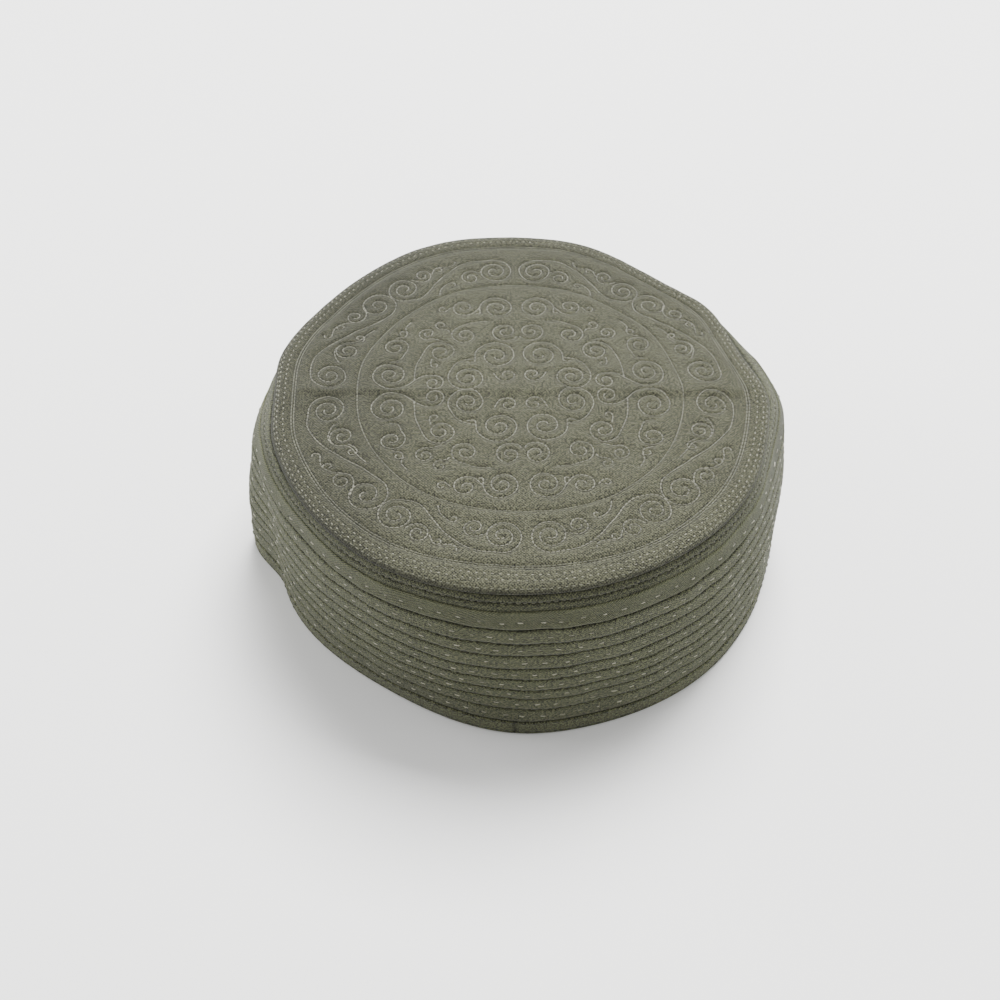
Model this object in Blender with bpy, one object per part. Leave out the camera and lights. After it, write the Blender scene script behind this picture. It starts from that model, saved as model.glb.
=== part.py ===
"""Quilted prayer cap, in five fabric pieces that stand on their hem.

A crown panel lies on a rim welt, an upper strip and a quilted band carry the welt, and a hem
binding is folded round the band's lower edge. The cap has been kept folded flat, so its wall
bulges at the left and right, and its crown has a low ridge between them.
X runs to the cap's right, Y to its back, and Z up from the hem's underside. Metres.
"""
import math
from collections import namedtuple

import bmesh
import bpy
from mathutils import Vector

# Driving sizes
BAND_RADIUS = 0.0950  # outer radius of the quilted band before its folds
CROWN_RADIUS = 0.0907  # radius of the crown panel before its folds
CAP_HEIGHT = 0.0800  # the crown's ridge over the hem's underside
CROWN_THICKNESS = 0.0022
WELT_HEIGHT = 0.0060
WELT_WALL = 0.0028
WELT_RECESS = 0.0012  # how far the welt stands in from the crown's edge
WELT_GROOVE = 0.0007  # depth of the groove between the welt's two cords
STRIP_HEIGHT = 0.0088
STRIP_WALL = 0.0028
STRIP_ROUNDING = 0.0008  # the strip's folded edges
BAND_WALL = 0.0030
CHANNEL_DEPTH = 0.0007  # depth of the stitched grooves between the quilted channels
HEM_HEIGHT = 0.0076
HEM_CLOTH = 0.0010  # thickness of the folded binding
HEM_TONGUE = 0.0014  # the band's lower edge, where the binding holds it
SEAM_GAP = 0.0003  # between pieces that are sewn together
CROWN_FALL_FRONT = 0.0020  # how far the crown's edge falls from the ridge at the front
CROWN_FALL_BACK = 0.0040  # and at the back

# Ends of the crown's ridge, as azimuths in degrees from +X towards +Y
RIDGE_RIGHT = 0.0
RIDGE_LEFT = 183.0

SEGMENTS = 72  # sides of each ring
CROWN_RINGS = (0.18, 0.40, 0.62, 0.82)  # shares of the crown's radius

# Heights of the quilted channels from the top down, as shares of their mean height
CHANNEL_SHARES = (1.10, 0.95, 1.10, 0.90, 0.95, 0.80, 1.00, 1.20)

# Upright section of the wall: share of CAP_HEIGHT, and share of the way from the band's radius
# to the crown's
Level = namedtuple("Level", "name height lean")
LEVELS = (
    Level("hem", 0.00, 0.00),
    Level("middle", 0.45, 0.00),
    Level("strip", 0.88, 0.33),
    Level("rim", 1.00, 1.00),
)

# Folds and dents of the wall: azimuth and half width in degrees, how far the wall moves out at
# each level as a share of BAND_RADIUS, and how far the rim falls there as a share of CAP_HEIGHT
Fold = namedtuple("Fold", "name azimuth half_width hem middle strip rim fall")
FOLDS = (
    Fold("left_crease", 182, 16, 0.107, 0.087, 0.020, -0.020, 0.000),
    Fold("left_shoulder", 196, 24, 0.000, 0.004, 0.028, 0.000, 0.000),
    Fold("right_crease", 4, 24, 0.030, 0.042, 0.044, 0.000, 0.000),
    Fold("right_shoulder", 350, 26, 0.018, 0.018, -0.016, -0.018, 0.000),
    Fold("right_tuck", 16, 22, 0.000, 0.018, 0.006, -0.075, 0.000),
    Fold("front_right_bulge", 325, 42, 0.025, 0.018, 0.005, 0.005, 0.008),
    Fold("front_left_hollow", 237, 38, -0.050, -0.020, 0.000, 0.010, 0.010),
    Fold("back_right_flat", 48, 34, 0.000, -0.020, -0.050, -0.075, 0.000),
    Fold("back_left_flat", 140, 34, 0.000, -0.010, -0.010, -0.025, 0.000),
    Fold("back_left_swell", 118, 36, 0.000, 0.000, 0.010, 0.024, 0.000),
)

# Heights of the seams, from the top down
WELT_TOP = CAP_HEIGHT - CROWN_THICKNESS - SEAM_GAP
STRIP_TOP = WELT_TOP - WELT_HEIGHT - SEAM_GAP
BAND_TOP = STRIP_TOP - STRIP_HEIGHT - SEAM_GAP
CHANNELS_BOTTOM = HEM_HEIGHT + SEAM_GAP
TONGUE_BOTTOM = HEM_CLOTH + SEAM_GAP
BINDING_WALL = HEM_TONGUE + 2 * (HEM_CLOTH + SEAM_GAP)

# Colours of the cloth, linear, and its roughness
CROWN_CLOTH = (0.20, 0.195, 0.135, 1.0)
WALL_CLOTH = (0.125, 0.13, 0.085, 1.0)
TRIM_CLOTH = (0.11, 0.115, 0.075, 1.0)
CLOTH_ROUGHNESS = 0.9


def swell(azimuth, fold):
    """1 in the middle of a fold, falling to 0 at its half width."""
    away = abs((azimuth - fold.azimuth + 180) % 360 - 180)
    return 0.5 * (1 + math.cos(math.pi * min(away / fold.half_width, 1)))


def between_levels(share, values):
    """The value at this share of the height, from one value for each level."""
    for below, above, low, high in zip(LEVELS, LEVELS[1:], values, values[1:]):
        if share <= above.height:
            part = (share - below.height) / (above.height - below.height)
            return low + (high - low) * part
    return values[-1]


def wall_radius(azimuth, share):
    """Outer radius of the cap at this azimuth and share of its height."""
    lean = between_levels(share, [level.lean for level in LEVELS])
    out = 0.0
    for fold in FOLDS:
        level_values = [fold.hem, fold.middle, fold.strip, fold.rim]
        out += swell(azimuth, fold) * between_levels(share, level_values)
    return BAND_RADIUS * (1 + out) + (CROWN_RADIUS - BAND_RADIUS) * lean


def rim_fall(azimuth):
    """How far the crown's edge lies under the ridge."""
    if RIDGE_RIGHT <= azimuth <= RIDGE_LEFT:
        depth = CROWN_FALL_BACK
        turn = (azimuth - RIDGE_RIGHT) / (RIDGE_LEFT - RIDGE_RIGHT)
    else:
        depth = CROWN_FALL_FRONT
        turn = (azimuth - RIDGE_LEFT) / (360 + RIDGE_RIGHT - RIDGE_LEFT)
    dips = sum(swell(azimuth, fold) * fold.fall for fold in FOLDS)
    return depth * math.sin(math.pi * turn) + CAP_HEIGHT * dips


def azimuth_of(point):
    return math.degrees(math.atan2(point.y, point.x)) % 360


def drape_wall(bm):
    """Moves a turned ring of the wall onto the folded outline, its thickness kept."""
    for vert in bm.verts:
        azimuth = azimuth_of(vert.co)
        share = vert.co.z / CAP_HEIGHT
        inset = BAND_RADIUS - vert.co.xy.length
        radius = wall_radius(azimuth, share) - inset
        height = vert.co.z - rim_fall(azimuth) * share
        vert.co = polar_point(azimuth, radius, height)


def drape_crown(bm):
    """Moves the turned crown onto the rim's outline and lets it fall from the ridge."""
    for vert in bm.verts:
        azimuth = azimuth_of(vert.co)
        reach = vert.co.xy.length / CROWN_RADIUS
        radius = wall_radius(azimuth, 1.0) * reach
        height = vert.co.z - rim_fall(azimuth) * reach
        vert.co = polar_point(azimuth, radius, height)


def polar_point(azimuth, radius, height):
    angle = math.radians(azimuth)
    return Vector((radius * math.cos(angle), radius * math.sin(angle), height))


def turned(section, closed):
    """A bmesh turned about Z from a section of (radius, height) points at azimuth 0."""
    bm = bmesh.new()
    verts = [bm.verts.new((radius, 0, height)) for radius, height in section]
    pairs = list(zip(verts, verts[1:]))
    if closed:
        pairs.append((verts[-1], verts[0]))
    edges = [bm.edges.new(pair) for pair in pairs]
    bmesh.ops.spin(
        bm, geom=verts + edges, cent=(0, 0, 0), axis=(0, 0, 1), dvec=(0, 0, 0),
        angle=2 * math.pi, steps=SEGMENTS, use_merge=True, use_normal_flip=False,
        use_duplicate=False,
    )
    return bm


def ring_section(insets_and_heights):
    """A closed section of the wall, from points given by their inset and height."""
    return [(BAND_RADIUS - inset, height) for inset, height in insets_and_heights]


def cloth(name, colour):
    material = bpy.data.materials.new(name)
    material.use_nodes = True
    shader = material.node_tree.nodes["Principled BSDF"]
    shader.inputs["Base Color"].default_value = colour
    shader.inputs["Roughness"].default_value = CLOTH_ROUGHNESS
    shader.inputs["Metallic"].default_value = 0.0
    return material


def finish(name, bm, material):
    """Makes the object of one fabric piece."""
    bmesh.ops.recalc_face_normals(bm, faces=bm.faces)
    mesh = bpy.data.meshes.new(name)
    bm.to_mesh(mesh)
    bm.free()
    mesh.shade_smooth()
    mesh.set_sharp_from_angle(angle=math.radians(50))
    mesh.materials.append(material)
    piece = bpy.data.objects.new(name, mesh)
    bpy.context.scene.collection.objects.link(piece)
    return piece


def crown_panel():
    """The round top: an even thickness of cloth, with a rounded edge."""
    underside = CAP_HEIGHT - CROWN_THICKNESS
    edge_radius = CROWN_RADIUS - CROWN_THICKNESS / 4
    radii = [share * CROWN_RADIUS for share in CROWN_RINGS] + [edge_radius]
    top = [(0, CAP_HEIGHT)] + [(radius, CAP_HEIGHT) for radius in radii]
    middle = [(CROWN_RADIUS, CAP_HEIGHT - CROWN_THICKNESS / 2)]
    bottom = [(radius, underside) for radius in reversed(radii)] + [(0, underside)]
    bm = turned(top + middle + bottom, closed=False)
    bmesh.ops.remove_doubles(bm, verts=bm.verts, dist=1e-6)
    drape_crown(bm)
    return finish("crown_panel", bm, cloth("crown_cloth", CROWN_CLOTH))


def rim_welt():
    """Two padded cords side by side under the crown's edge."""
    crest = WELT_RECESS
    groove = WELT_RECESS + WELT_GROOVE
    inner = WELT_RECESS + WELT_WALL
    quarter = WELT_HEIGHT / 4
    outer = [
        (groove, WELT_TOP),
        (crest, WELT_TOP - quarter),
        (groove, WELT_TOP - 2 * quarter),
        (crest, WELT_TOP - 3 * quarter),
        (groove, WELT_TOP - 4 * quarter),
    ]
    section = ring_section(outer + [(inner, WELT_TOP - WELT_HEIGHT), (inner, WELT_TOP)])
    bm = turned(section, closed=True)
    drape_wall(bm)
    return finish("rim_welt", bm, cloth("welt_cloth", TRIM_CLOTH))


def upper_strip():
    """The plain strip cut on the bias, standing a little proud of the wall."""
    bottom = STRIP_TOP - STRIP_HEIGHT
    section = ring_section([
        (STRIP_ROUNDING, STRIP_TOP),
        (0, STRIP_TOP - STRIP_ROUNDING),
        (0, bottom + STRIP_ROUNDING),
        (STRIP_ROUNDING, bottom),
        (STRIP_WALL, bottom),
        (STRIP_WALL, STRIP_TOP),
    ])
    bm = turned(section, closed=True)
    drape_wall(bm)
    return finish("upper_strip", bm, cloth("strip_cloth", WALL_CLOTH))


def channel_outline():
    """Insets and heights down the quilted channels: a groove, then a crest and a groove each."""
    outline = [(CHANNEL_DEPTH, BAND_TOP)]
    height = BAND_TOP
    for share in CHANNEL_SHARES:
        drop = (BAND_TOP - CHANNELS_BOTTOM) * share / sum(CHANNEL_SHARES)
        outline.append((0, height - drop / 2))
        outline.append((CHANNEL_DEPTH, height - drop))
        height -= drop
    return outline


def quilted_band():
    """The padded wall of eight channels, with a thin tongue that the binding holds."""
    tongue_outer = HEM_CLOTH + SEAM_GAP
    tongue_inner = tongue_outer + HEM_TONGUE
    tongue = [
        (tongue_outer, CHANNELS_BOTTOM),
        (tongue_outer, TONGUE_BOTTOM),
        (tongue_inner, TONGUE_BOTTOM),
        (tongue_inner, CHANNELS_BOTTOM),
    ]
    inside_levels = [level.height * CAP_HEIGHT for level in LEVELS]
    inside = [CHANNELS_BOTTOM]
    inside += [z for z in inside_levels if CHANNELS_BOTTOM < z < BAND_TOP]
    inside += [BAND_TOP]
    section = channel_outline() + tongue + [(BAND_WALL, height) for height in inside]
    bm = turned(ring_section(section), closed=True)
    drape_wall(bm)
    return finish("quilted_band", bm, cloth("band_cloth", WALL_CLOTH))


def hem_binding():
    """A strip folded round the band's lower edge, open upwards, flat where it rests."""
    slot_outer = HEM_CLOTH
    slot_inner = BINDING_WALL - HEM_CLOTH
    section = ring_section([
        (0, HEM_HEIGHT),
        (0, HEM_CLOTH),
        (HEM_CLOTH / 2, 0),
        (BINDING_WALL - HEM_CLOTH / 2, 0),
        (BINDING_WALL, HEM_CLOTH),
        (BINDING_WALL, HEM_HEIGHT),
        (slot_inner, HEM_HEIGHT),
        (slot_inner, HEM_CLOTH),
        (slot_outer, HEM_CLOTH),
        (slot_outer, HEM_HEIGHT),
    ])
    bm = turned(section, closed=True)
    drape_wall(bm)
    return finish("hem_binding", bm, cloth("hem_cloth", TRIM_CLOTH))


def centre_on_origin(pieces):
    """Moves the pieces so that the origin lies under the middle of their common box."""
    corners = [vert.co for piece in pieces for vert in piece.data.vertices]
    middle_x = (min(c.x for c in corners) + max(c.x for c in corners)) / 2
    middle_y = (min(c.y for c in corners) + max(c.y for c in corners)) / 2
    anchor = bpy.data.objects.new("cap_anchor", None)
    anchor.location = (-middle_x, -middle_y, 0)
    bpy.context.scene.collection.objects.link(anchor)
    for piece in pieces:
        piece.parent = anchor


def main():
    for obj in list(bpy.data.objects):
        bpy.data.objects.remove(obj, do_unlink=True)
    pieces = [crown_panel(), rim_welt(), upper_strip(), quilted_band(), hem_binding()]
    centre_on_origin(pieces)


main()
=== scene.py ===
# %% [markdown]
# # A quilted prayer cap
# The cap is sewn from five pieces of olive grey cotton: an embroidered crown, a welt of two
# cords, a strip cut on the bias, a wall quilted in eight channels, and a binding folded round
# the hem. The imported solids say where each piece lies. This lesson makes each piece again with
# its stitches, its padding and its weave, and keeps it in the same place.

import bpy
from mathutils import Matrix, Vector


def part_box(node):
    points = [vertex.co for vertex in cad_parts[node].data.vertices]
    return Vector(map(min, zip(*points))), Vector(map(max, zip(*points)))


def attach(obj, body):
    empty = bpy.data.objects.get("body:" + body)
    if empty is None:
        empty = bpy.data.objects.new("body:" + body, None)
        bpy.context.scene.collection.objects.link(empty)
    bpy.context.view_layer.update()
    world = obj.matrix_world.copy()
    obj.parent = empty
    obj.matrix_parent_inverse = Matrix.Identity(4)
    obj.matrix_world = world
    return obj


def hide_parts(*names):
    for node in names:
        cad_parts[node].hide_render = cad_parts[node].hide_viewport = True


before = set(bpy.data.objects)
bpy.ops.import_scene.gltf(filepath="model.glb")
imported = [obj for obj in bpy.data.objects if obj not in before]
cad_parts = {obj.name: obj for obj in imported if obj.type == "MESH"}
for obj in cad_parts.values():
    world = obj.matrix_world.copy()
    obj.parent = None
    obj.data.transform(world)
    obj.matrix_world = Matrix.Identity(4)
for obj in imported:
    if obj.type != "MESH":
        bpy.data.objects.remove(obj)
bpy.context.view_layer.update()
print("nodes:", sorted(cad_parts))

# %% Modules of Python and Blender
import math
import random
from collections import namedtuple
from functools import lru_cache

import bmesh
import bpy
from mathutils import Vector, kdtree, noise

MM = 0.001


def in_scene(name, data):
    """A new object in the scene."""
    made = bpy.data.objects.new(name, data)
    bpy.context.scene.collection.objects.link(made)
    return made


# %% [markdown]
# ## The camera
# The camera comes first, because everything is compared with the photograph through it. A 54 mm
# lens stands about half a metre away and looks down by about 49 degrees. The aim is turned,
# rather than the lens shifted, so that views from other sides stay centred.

# %% Camera
CAMERA_PLACE = Vector((-3.15, -385.15, 460.11)) * MM
CAMERA_DOWN = 48.88
CAMERA_TURN = 0.304
lens = bpy.data.cameras.new("camera")
lens.lens = 54.0
lens.sensor_width = 36.0
camera = in_scene("camera", lens)
camera.location = CAMERA_PLACE
camera.rotation_euler = (math.radians(90 - CAMERA_DOWN), 0, math.radians(CAMERA_TURN))
bpy.context.scene.camera = camera
crown_middle = Vector((0, 0, 80)) * MM
print("camera to the crown's middle, mm:", round((CAMERA_PLACE - crown_middle).length / MM))

# %% [markdown]
# ## The form of the cap
# The crown has a low ridge from left to right, where the cap was kept folded, and the wall
# bulges at the ridge's two ends. Two small tables hold that form. They are the same as in the
# part's source, so each piece lies where its solid lies.

# %% Sizes of the pieces, in metres
BAND_RADIUS = 0.0950
CROWN_RADIUS = 0.0907
CAP_HEIGHT = 0.0800
CROWN_THICKNESS = 0.0022
WELT_HEIGHT = 0.0060
WELT_WALL = 0.0028
WELT_RECESS = 0.0012
STRIP_HEIGHT = 0.0088
STRIP_WALL = 0.0028
BAND_WALL = 0.0030
HEM_HEIGHT = 0.0076
HEM_CLOTH = 0.0010
HEM_TONGUE = 0.0014
SEAM_GAP = 0.0003
WELT_TOP = CAP_HEIGHT - CROWN_THICKNESS - SEAM_GAP
STRIP_TOP = WELT_TOP - WELT_HEIGHT - SEAM_GAP
BAND_TOP = STRIP_TOP - STRIP_HEIGHT - SEAM_GAP
CHANNELS_BOTTOM = HEM_HEIGHT + SEAM_GAP
TONGUE_BOTTOM = HEM_CLOTH + SEAM_GAP
BINDING_WALL = HEM_TONGUE + 2 * (HEM_CLOTH + SEAM_GAP)

# %% The upright section, and the folds
CROWN_FALL_FRONT = 0.0020
CROWN_FALL_BACK = 0.0040
RIDGE_RIGHT = 0.0
RIDGE_LEFT = 183.0

# Share of the cap's height, and share of the way from the band's radius to the crown's
Level = namedtuple("Level", "name height lean")
LEVELS = (
    Level("hem", 0.00, 0.00),
    Level("middle", 0.45, 0.00),
    Level("strip", 0.88, 0.33),
    Level("rim", 1.00, 1.00),
)

# Azimuth and half width in degrees, how far the wall moves out at each level as a share of
# BAND_RADIUS, and how far the rim falls as a share of CAP_HEIGHT
Fold = namedtuple("Fold", "name azimuth half_width hem middle strip rim fall")
FOLDS = (
    Fold("left_crease", 182, 16, 0.107, 0.087, 0.02, -0.02, 0),
    Fold("left_shoulder", 196, 24, 0, 0.004, 0.028, 0, 0),
    Fold("right_crease", 4, 24, 0.03, 0.042, 0.044, 0, 0),
    Fold("right_shoulder", 350, 26, 0.018, 0.018, -0.016, -0.018, 0),
    Fold("right_tuck", 16, 22, 0, 0.018, 0.006, -0.075, 0),
    Fold("front_right_bulge", 325, 42, 0.025, 0.018, 0.005, 0.005, 0.008),
    Fold("front_left_hollow", 237, 38, -0.05, -0.02, 0, 0.01, 0.01),
    Fold("back_right_flat", 48, 34, 0, -0.02, -0.05, -0.075, 0),
    Fold("back_left_flat", 140, 34, 0, -0.01, -0.01, -0.025, 0),
    Fold("back_left_swell", 118, 36, 0, 0, 0.01, 0.024, 0),
)
print("folds:", [fold.name for fold in FOLDS])

# %% Radius of the wall at an azimuth and a share of the height
def between_levels(share, values):
    """The value at this share of the height, from one value for each level."""
    for below, above, low, high in zip(LEVELS, LEVELS[1:], values, values[1:]):
        if share <= above.height:
            part = (share - below.height) / (above.height - below.height)
            return low + (high - low) * part
    return values[-1]


# Corners between levels are rounded off, as shares of the height
ROUNDING_REACH = 0.10
ROUNDING = (-0.10, -0.05, 0.0, 0.05, 0.10)


@lru_cache(maxsize=None)
def level_shares(share):
    """Lean and fold values at this height, with the corners between levels rounded off."""
    columns = [[level.lean for level in LEVELS]]
    columns += [[fold.hem, fold.middle, fold.strip, fold.rim] for fold in FOLDS]
    room = min(1, share / ROUNDING_REACH, (1 - share) / ROUNDING_REACH)
    heights = [share + offset * max(room, 0) for offset in ROUNDING]
    return [sum(between_levels(h, c) for h in heights) / len(heights) for c in columns]


@lru_cache(maxsize=None)
def fold_swells(azimuth):
    """How strongly each fold acts at this azimuth: 1 in its middle and 0 at its edge."""
    aways = [abs((azimuth - fold.azimuth + 180) % 360 - 180) / fold.half_width for fold in FOLDS]
    return [0.5 * (1 + math.cos(math.pi * min(away, 1))) for away in aways]


def wall_radius(azimuth, share):
    """Outer radius of the cap."""
    lean, *outs = level_shares(round(share, 5))
    out = sum(swell * value for swell, value in zip(fold_swells(round(azimuth, 3)), outs))
    return BAND_RADIUS * (1 + out) + (CROWN_RADIUS - BAND_RADIUS) * lean


@lru_cache(maxsize=None)
def rim_fall(azimuth):
    """How far the crown's edge lies under the ridge."""
    if RIDGE_RIGHT <= azimuth <= RIDGE_LEFT:
        depth = CROWN_FALL_BACK
        turn = (azimuth - RIDGE_RIGHT) / (RIDGE_LEFT - RIDGE_RIGHT)
    else:
        depth = CROWN_FALL_FRONT
        turn = (azimuth - RIDGE_LEFT) / (360 + RIDGE_RIGHT - RIDGE_LEFT)
    dips = sum(swell * fold.fall for swell, fold in zip(fold_swells(azimuth), FOLDS))
    return depth * math.sin(math.pi * turn) + CAP_HEIGHT * dips


print("radius at the front hem, mm:", round(wall_radius(270, 0) / MM, 1))

# %% Where the frame's origin lies
def azimuth_of(x, y):
    return round(math.degrees(math.atan2(y, x)) % 360, 3)


def polar_point(azimuth, radius, height):
    angle = math.radians(azimuth)
    return Vector((radius * math.cos(angle), radius * math.sin(angle), height))


hem_low, hem_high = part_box("hem_binding")
CAD_SIDES = 72
hem_shares = (HEM_CLOTH / CAP_HEIGHT, HEM_HEIGHT / CAP_HEIGHT)
outline = [
    polar_point(side * 360 / CAD_SIDES, wall_radius(side * 360 / CAD_SIDES, share), 0)
    for side in range(CAD_SIDES)
    for share in hem_shares
]
CENTRE = Vector((
    (hem_low.x + hem_high.x - min(p.x for p in outline) - max(p.x for p in outline)) / 2,
    (hem_low.y + hem_high.y - min(p.y for p in outline) - max(p.y for p in outline)) / 2,
    0,
))
print("centre of the tables in the frame, mm:", [round(c / MM, 3) for c in CENTRE])

# %% [markdown]
# ## Cloth that isn't quite even
# A sewn wall wanders: its seams rise and sink by a few tenths of a millimetre, and its face
# swells and hollows. One smooth field moves all the wall's pieces, so that neighbours keep
# their seams. It fades out at the floor and at the rim.

# %% One uneven field for the whole wall
def eased(value):
    """0 below 0, 1 above 1, and a smooth step between."""
    value = min(max(value, 0.0), 1.0)
    return value * value * (3 - 2 * value)


def ring_place(azimuth, height, around, upright):
    """A place in the noise: around sets its detail round the cap, upright its size in Z."""
    angle = math.radians(azimuth)
    return Vector((around * math.cos(angle), around * math.sin(angle), height / upright))


def wander(azimuth, height):
    """How far the wall stands out, and how far a seam rises, at this place."""
    place = ring_place(azimuth, height, 3.8, 0.025)
    fade = eased(height / 0.015) * eased((CAP_HEIGHT - height) / 0.010)
    out = 0.7 * MM * noise.noise(place) + 0.35 * MM * noise.noise(place * 2.3)
    rise = 0.55 * MM * noise.noise(place * 1.7 + Vector((9, 4, 2)))
    rise += 0.22 * MM * noise.noise(place * 4.3 + Vector((3, 1, 7)))
    return out * fade, rise * fade


def wall_point(azimuth, inset, height):
    """A point of the wall, this far in from its outer face."""
    share = height / CAP_HEIGHT
    out, rise = wander(azimuth, height)
    radius = wall_radius(azimuth, share) - inset + out
    return polar_point(azimuth, radius, height + rise - rim_fall(azimuth) * share) + CENTRE



# %% [markdown]
# ## Turning a section into a ring
# Each wall piece is a small closed section turned about the upright axis with the spin operator.
# The cloth's UV map is laid in metres while the ring is still round, so threads stay even.

# %% Spin a section, and lay the UV map
WALL_STEPS = 720
FACE_ROOM = 0.1 * MM  # how far past its depth a face still counts


def turned_ring(section):
    """A bmesh turned about Z from (inset, height) points of a closed section."""
    bm = bmesh.new()
    along = bm.verts.layers.float.new("along")
    verts = [bm.verts.new((BAND_RADIUS - inset, 0, height)) for inset, height in section]
    edges = [bm.edges.new(pair) for pair in zip(verts, verts[1:] + verts[:1])]
    for before, vert in zip(verts, verts[1:]):
        vert[along] = before[along] + (vert.co - before.co).length
    bmesh.ops.spin(
        bm, geom=verts + edges, cent=(0, 0, 0), axis=(0, 0, 1), dvec=(0, 0, 0),
        angle=2 * math.pi, steps=WALL_STEPS, use_merge=True, use_normal_flip=False,
        use_duplicate=False,
    )
    return bm


def lay_wall_uv(bm):
    """UV in metres: round the cap, and along the section."""
    uv_layer = bm.loops.layers.uv.new("cloth")
    along = bm.verts.layers.float["along"]
    for face in bm.faces:
        azimuths = [azimuth_of(loop.vert.co.x, loop.vert.co.y) for loop in face.loops]
        far_side = max(azimuths) > 270
        for loop, azimuth in zip(face.loops, azimuths):
            if far_side and azimuth < 90:
                azimuth += 360
            loop[uv_layer].uv = (math.radians(azimuth) * BAND_RADIUS, -loop.vert[along])


def mark_raised(bm, amount):
    """Keeps amount(azimuth, inset, height) on each point: the shader paints shade where it is low
    and light where it is above 1.
    """
    layer = bm.verts.layers.float.new("raised")
    for vert in bm.verts:
        azimuth = azimuth_of(vert.co.x, vert.co.y)
        vert[layer] = amount(azimuth, BAND_RADIUS - vert.co.xy.length, vert.co.z)


def drape_ring(bm, relief):
    """Moves a round ring onto the folded outline. relief(azimuth, inset, height) stands proud."""
    for vert in bm.verts:
        azimuth = azimuth_of(vert.co.x, vert.co.y)
        inset = BAND_RADIUS - vert.co.xy.length
        height = vert.co.z
        vert.co = wall_point(azimuth, inset - relief(azimuth, inset, height), height)


def finished(name, bm, material, node=None):
    """Makes the object of one piece, which rides on the root and may replace a solid."""
    bmesh.ops.recalc_face_normals(bm, faces=bm.faces)
    mesh = bpy.data.meshes.new(name)
    bm.to_mesh(mesh)
    bm.free()
    mesh.shade_smooth()
    mesh.materials.append(material)
    piece = in_scene(name, mesh)
    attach(piece, "root")
    if node:
        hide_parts(node)
    mesh.calc_loop_triangles()
    print(name, "has", len(mesh.loop_triangles), "triangles")
    return piece


def wall_piece(name, section, raised, relief, material, node):
    """One piece of the wall from its section, in the place of its solid."""
    bm = turned_ring(section)
    lay_wall_uv(bm)
    mark_raised(bm, raised)
    drape_ring(bm, relief)
    return finished(name, bm, material, node)


# %% [markdown]
# ## Writing shaders as sums
# A Wire holds one output socket, and adding or multiplying two wires makes the Math node for
# it. Every other node comes from one method, which sets the node up before it fills its sockets.

# %% A socket that can be added and multiplied
class Wire:
    """An output socket of a material, used in expressions."""

    def __init__(self, finish, socket):
        self.finish = finish
        self.socket = socket

    def maths(self, operation, *values):
        inputs = dict(enumerate((self,) + values))
        return self.finish.node("Math", {"operation": operation}, inputs)

    def __add__(self, other):
        return self.maths("ADD", other)

    __radd__ = __add__

    def __mul__(self, other):
        return self.maths("MULTIPLY", other)

    __rmul__ = __mul__

    def __sub__(self, other):
        return self.maths("SUBTRACT", other)

    def __rsub__(self, other):
        inputs = {0: other, 1: self}
        return self.finish.node("Math", {"operation": "SUBTRACT"}, inputs)

    def between(self, low, high):
        """0 at low, 1 at high, and a smooth step between."""
        settings = {"interpolation_type": "SMOOTHSTEP"}
        inputs = {"Value": self, "From Min": low, "From Max": high}
        return self.finish.node("MapRange", settings, inputs)


class Finish:
    """One material, with a method that makes any node of it."""

    def __init__(self, name):
        self.material = bpy.data.materials.new(name)
        self.material.use_nodes = True
        self.nodes = self.material.node_tree.nodes
        self.links = self.material.node_tree.links
        self.surface = self.nodes["Principled BSDF"]

    def node(self, kind, settings, inputs, output=0):
        """A node of this kind: its settings first, then values or links for its sockets."""
        made = self.nodes.new("ShaderNode" + kind)
        for key, value in settings.items():
            setattr(made, key, value)
        for key, value in inputs.items():
            self.fill(made.inputs[key], value)
        return Wire(self, made.outputs[output])

    def fill(self, socket, value):
        if isinstance(value, Wire):
            self.links.new(value.socket, socket)
        else:
            socket.default_value = value

    def set(self, name, value):
        self.fill(self.surface.inputs[name], value)

    def mix(self, factor, first, second):
        """first where factor is 0 and second where it is 1, as colours."""
        inputs = {0: factor, 6: first, 7: second}
        return self.node("Mix", {"data_type": "RGBA"}, inputs, output=2)

    def attribute(self, name):
        return self.node("Attribute", {"attribute_name": name}, {}, output=2)

    def grain(self, place, scale, detail=2.0):
        """Noise with a size along each axis: scale holds features in a metre."""
        moved = self.node("VectorMath", {"operation": "MULTIPLY"}, {0: place, 1: scale})
        inputs = {"Vector": moved, "Scale": 1.0, "Detail": detail, "Roughness": 0.55}
        return self.node("TexNoise", {}, inputs)


# %% [markdown]
# ## The cotton
# The cloth is a plain weave of uneven yarn. Its crossings, the flecks of its yarn and streaks of
# thicker yarn go into both the colour and the bump. The dye's soft mottling goes into the
# colour alone. Where the cloth lies low, in seams, grooves and dimples, painted shade darkens
# its colour, and painted shade of needle holes darkens it along the seams.

# %% Cotton cloth
THREAD_PITCH = 1.05 * MM
# Streaks and flecks of the yarn in a metre, across and along it
YARN_WIDTH = 1 / 0.0008
YARN_LENGTH = 1 / 0.0040
FLECK_WIDTH = 1 / 0.00050
FLECK_LENGTH = 1 / 0.0010


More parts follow.
